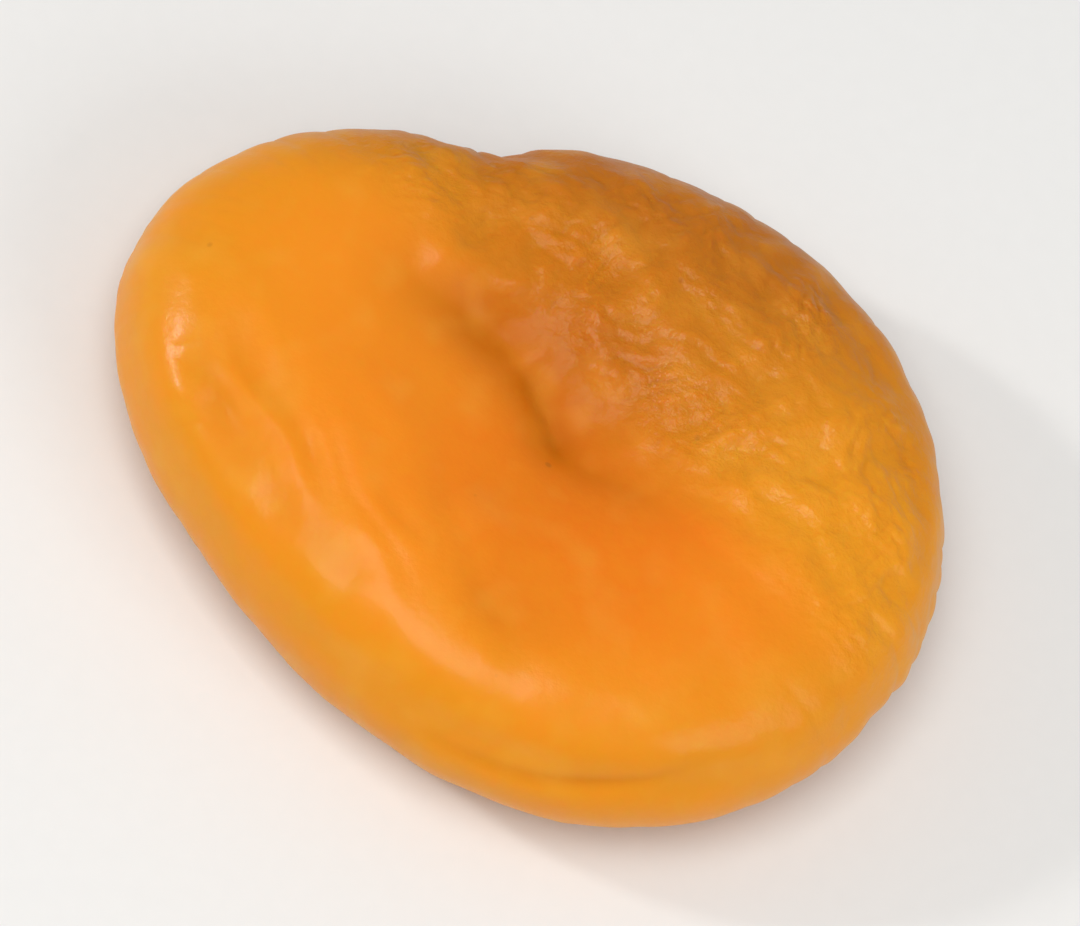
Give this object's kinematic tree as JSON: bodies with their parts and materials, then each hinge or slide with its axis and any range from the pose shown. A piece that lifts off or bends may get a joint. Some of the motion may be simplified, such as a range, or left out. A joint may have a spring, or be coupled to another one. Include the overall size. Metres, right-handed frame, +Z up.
{
  "type": "dried apricot",
  "caption": "Whole pitted dried apricot: a plump, flattened oval of soft orange flesh with a rolled rim, a sunken cleft on its upper face and a closed mouth in its rim.",
  "frame": {"origin": "on the surface that the fruit lies on, under the middle of its bounding box", "axes": "+X along the fruit's longest way, +Y across it towards the side with the mouth, +Z up through its thickness"},
  "size_m": [0.0438, 0.0344, 0.0112],
  "materials": {
    "apricot_flesh": "moist, slightly translucent orange skin, paler and yellower at the rim, with fine glossy wrinkles"
  },
  "bodies": {
    "root": {"dried_apricot": "apricot_flesh"}
  },
  "joints": []
}
